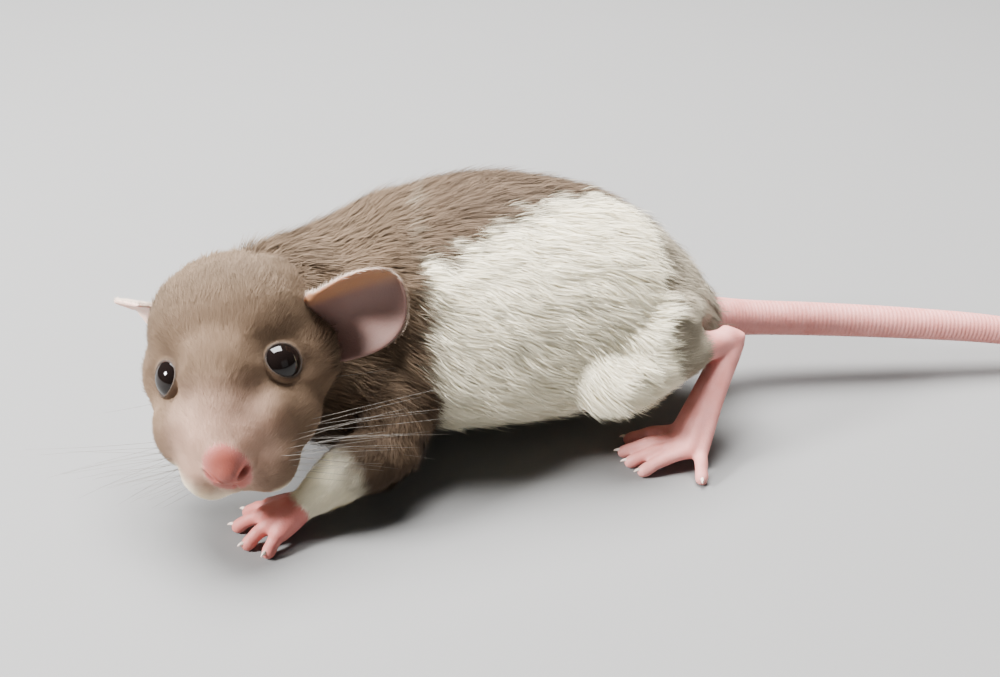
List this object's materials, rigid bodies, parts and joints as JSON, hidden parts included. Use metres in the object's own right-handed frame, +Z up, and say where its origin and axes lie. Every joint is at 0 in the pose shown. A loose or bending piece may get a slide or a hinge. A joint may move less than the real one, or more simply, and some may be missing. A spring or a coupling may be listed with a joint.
{
  "type": "pet rat",
  "caption": "Life-size young hooded pet rat standing low on four feet with its head turned to one side and its tail trailing.",
  "frame": {"origin": "middle of the model's box, on the floor", "axes": "+X from the head towards the tail, -Y out of the rat's left side, +Z up from the floor"},
  "size_m": [0.1707, 0.0612, 0.0359],
  "materials": {
    "hood": "short soft grey-beige fur",
    "cream": "short soft cream fur",
    "skin": "soft pink skin, almost bare",
    "eye": "wet black gloss"
  },
  "bodies": {
    "root": {"head": "hood", "neck": "hood", "torso": "cream", "ear_left": "skin", "ear_right": "skin", "eye_left": "eye", "eye_right": "eye", "upper_arm_left": "cream", "upper_arm_right": "cream", "forearm_left": "cream", "forearm_right": "cream", "hand_left": "skin", "hand_right": "skin", "thigh_left": "cream", "thigh_right": "cream", "shank_left": "skin", "shank_right": "skin", "foot_left": "skin", "foot_right": "skin", "tail_1": "skin", "tail_2": "skin", "tail_3": "skin", "tail_4": "skin"}
  },
  "joints": []
}
